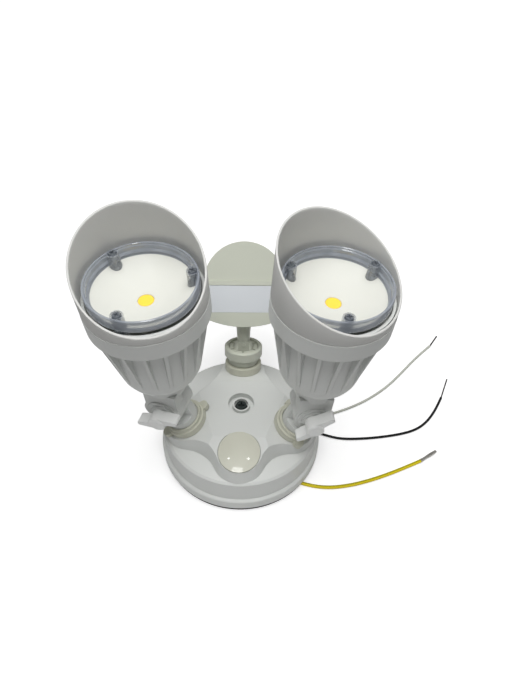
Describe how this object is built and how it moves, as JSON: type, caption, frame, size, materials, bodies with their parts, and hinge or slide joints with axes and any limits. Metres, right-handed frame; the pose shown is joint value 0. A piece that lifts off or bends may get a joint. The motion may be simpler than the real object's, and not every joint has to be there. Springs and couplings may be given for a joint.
{
  "type": "motion sensor security light",
  "caption": "Outdoor security light: round wall canopy with two tilting lamp heads under slanted hoods and a ball-jointed motion sensor between them.",
  "frame": {"origin": "centre of the gasket's back face, on the wall plane", "axes": "+Z out of the wall, +Y toward the motion sensor (down when mounted as its label says), +X toward the right lamp seen from the front"},
  "size_m": [0.2768, 0.1961, 0.2127],
  "materials": {
    "white_coat": "satin",
    "visor": "satin",
    "grey_ring": "satin",
    "sensor_shell": "satin",
    "plug": "gloss",
    "wing": "satin",
    "steel": "satin",
    "dark_steel": "satin",
    "foam": "matte",
    "seal": "matte",
    "circuit": "satin",
    "black_plastic": "satin",
    "blue_plastic": "gloss",
    "tin": "satin",
    "board_alu": "satin",
    "phosphor": "satin",
    "reflector": "satin",
    "clear": "gloss",
    "fresnel": "satin",
    "label": "satin",
    "lead_white": "satin",
    "lead_black": "satin",
    "lead_ground": "satin"
  },
  "bodies": {
    "base": {"canopy": "white_coat", "gasket": "foam", "center_screw": "dark_steel", "port_plug": "plug", "port_seals": "seal", "driver_board": "circuit", "board_screws": "steel", "driver_transformer": "black_plastic", "driver_relay": "blue_plastic", "driver_capacitors": "black_plastic", "lead_terminals": "tin", "lead_white": "lead_white", "lead_black": "lead_black", "lead_ground": "lead_ground", "tip_white": "tin", "tip_black": "tin", "tip_ground": "tin"},
    "ring_left": {"lock_ring_left": "grey_ring"},
    "arm_left": {"arm_lower_left": "white_coat", "pivot_nut_left": "steel"},
    "wing_left": {"wing_screw_left": "wing"},
    "head_left": {"arm_upper_left": "white_coat", "heat_sink_left": "white_coat", "led_board_left": "board_alu", "led_emitter_left": "phosphor", "reflector_left": "reflector", "lens_cover_left": "clear", "lens_screws_left": "steel", "hood_left": "visor"},
    "ring_right": {"lock_ring_right": "grey_ring"},
    "arm_right": {"arm_lower_right": "white_coat", "pivot_nut_right": "steel"},
    "wing_right": {"wing_screw_right": "wing"},
    "head_right": {"arm_upper_right": "white_coat", "heat_sink_right": "white_coat", "led_board_right": "board_alu", "led_emitter_right": "phosphor", "reflector_right": "reflector", "lens_cover_right": "clear", "lens_screws_right": "steel", "hood_right": "visor"},
    "ring_sensor": {"lock_ring_sensor": "grey_ring"},
    "sensor_socket": {"sensor_stem": "sensor_shell"},
    "sensor_clamp_nut": {"sensor_nut": "sensor_shell"},
    "sensor_collet": {"sensor_collet": "sensor_shell"},
    "sensor_ball": {"sensor_ball": "sensor_shell"},
    "sensor_head": {"sensor_front": "sensor_shell", "sensor_rear": "sensor_shell", "sensor_lens": "fresnel", "sensor_label": "label", "sensor_board": "circuit", "pir_element": "tin", "dial_pots": "blue_plastic"},
    "dial_time": {"dial_time": "black_plastic"},
    "dial_light": {"dial_light": "black_plastic"},
    "dial_range": {"dial_range": "black_plastic"}
  },
  "joints": [
    {"name": "lock_ring_left_turn", "type": "hinge", "parent": "base", "child": "ring_left", "pos_m": [-0.039, -0.01419, 0.0433], "axis": [-0.3444, -0.1254, 0.9304], "range_deg": [-60, 60]},
    {"name": "lamp_left_swivel", "type": "hinge", "parent": "base", "child": "arm_left", "pos_m": [-0.039, -0.01419, 0.0433], "axis": [-0.3444, -0.1254, 0.9304], "range_deg": [-165, 165]},
    {"name": "wing_screw_left_turn", "type": "hinge", "parent": "arm_left", "child": "wing_left", "pos_m": [-0.04957, -0.01804, 0.07186], "axis": [-0.2663, -0.9588, -0.0986], "range_deg": [-180, 180]},
    {"name": "lamp_left_tilt", "type": "hinge", "parent": "arm_left", "child": "head_left", "pos_m": [-0.04957, -0.01804, 0.07186], "axis": [-0.2663, -0.9588, -0.0986], "range_deg": [-12, 95]},
    {"name": "lock_ring_right_turn", "type": "hinge", "parent": "base", "child": "ring_right", "pos_m": [0.039, -0.01419, 0.0433], "axis": [0.3444, -0.1254, 0.9304], "range_deg": [-60, 60]},
    {"name": "lamp_right_swivel", "type": "hinge", "parent": "base", "child": "arm_right", "pos_m": [0.039, -0.01419, 0.0433], "axis": [0.3444, -0.1254, 0.9304], "range_deg": [-165, 165]},
    {"name": "wing_screw_right_turn", "type": "hinge", "parent": "arm_right", "child": "wing_right", "pos_m": [0.04957, -0.01804, 0.07186], "axis": [0.1328, -0.9897, -0.0534], "range_deg": [-180, 180]},
    {"name": "lamp_right_tilt", "type": "hinge", "parent": "arm_right", "child": "head_right", "pos_m": [0.04957, -0.01804, 0.07186], "axis": [0.1328, -0.9897, -0.0534], "range_deg": [-95, 12]},
    {"name": "lock_ring_sensor_turn", "type": "hinge", "parent": "base", "child": "ring_sensor", "pos_m": [-0.00087, 0.04149, 0.0433], "axis": [-0.0054, 0.2588, 0.9659], "range_deg": [-60, 60]},
    {"name": "sensor_swivel", "type": "hinge", "parent": "base", "child": "sensor_socket", "pos_m": [-0.00087, 0.04149, 0.0433], "axis": [-0.0054, 0.2588, 0.9659], "range_deg": [-170, 170]},
    {"name": "sensor_nut_turn", "type": "hinge", "parent": "sensor_socket", "child": "sensor_clamp_nut", "pos_m": [-0.00096, 0.04589, 0.05972], "axis": [-0.0054, 0.2588, 0.9659], "range_deg": [-90, 90]},
    {"name": "sensor_pan", "type": "hinge", "parent": "sensor_socket", "child": "sensor_collet", "pos_m": [-0.00096, 0.04589, 0.05972], "axis": [-0.0054, 0.2588, 0.9659], "range_deg": [-180, 180]},
    {"name": "sensor_tilt", "type": "hinge", "parent": "sensor_collet", "child": "sensor_ball", "pos_m": [-0.00096, 0.04589, 0.05972], "axis": [0.9974, 0.0715, -0.0135], "range_deg": [-10, 38]},
    {"name": "sensor_roll", "type": "hinge", "parent": "sensor_ball", "child": "sensor_head", "pos_m": [-0.00096, 0.04589, 0.05972], "axis": [-0.024, 0.4993, 0.8661], "range_deg": [-90, 90]},
    {"name": "dial_time_turn", "type": "hinge", "parent": "sensor_head", "child": "dial_time", "pos_m": [-0.01731, 0.08313, 0.08629], "axis": [-0.0687, 0.8635, -0.4997], "range_deg": [-135, 135]},
    {"name": "dial_light_turn", "type": "hinge", "parent": "sensor_head", "child": "dial_light", "pos_m": [-0.00334, 0.08413, 0.0861], "axis": [-0.0687, 0.8635, -0.4997], "range_deg": [-135, 135]},
    {"name": "dial_range_turn", "type": "hinge", "parent": "sensor_head", "child": "dial_range", "pos_m": [0.01062, 0.08513, 0.08591], "axis": [-0.0687, 0.8635, -0.4997], "range_deg": [-135, 135]}
  ]
}
